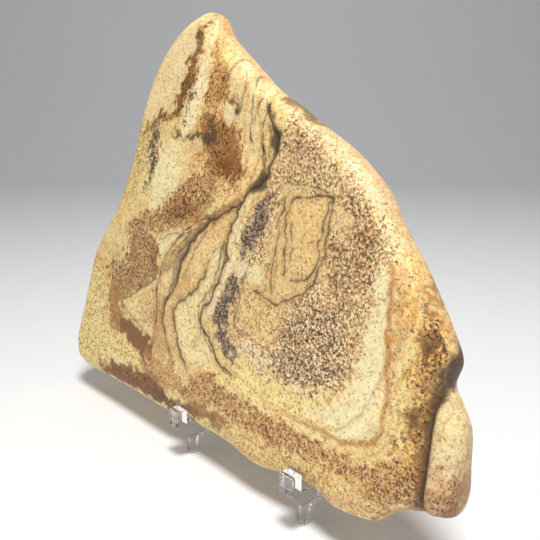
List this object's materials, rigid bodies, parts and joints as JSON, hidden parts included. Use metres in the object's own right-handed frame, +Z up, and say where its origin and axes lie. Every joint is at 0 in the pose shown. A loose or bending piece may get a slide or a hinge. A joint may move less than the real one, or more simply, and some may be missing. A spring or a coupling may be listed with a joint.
{
  "type": "picture jasper slab on a clear plastic easel",
  "caption": "Polished, round-edged slab of picture jasper standing on edge, leaning back in the hooks of a small clear plastic display easel.",
  "frame": {"origin": "on the floor, under the middle of the whole", "axes": "+Z up, the slab's polished front faces -Y and leans back towards +Y, +X along its bottom edge towards the small toe"},
  "size_m": [0.2038, 0.068, 0.1641],
  "materials": {
    "jasper": "polished",
    "easel": "clear, gloss"
  },
  "bodies": {
    "root": {"jasper_slab": "jasper", "easel_side_left": "easel", "easel_side_right": "easel", "easel_crossbar_upper": "easel", "easel_crossbar_lower": "easel"}
  },
  "joints": []
}
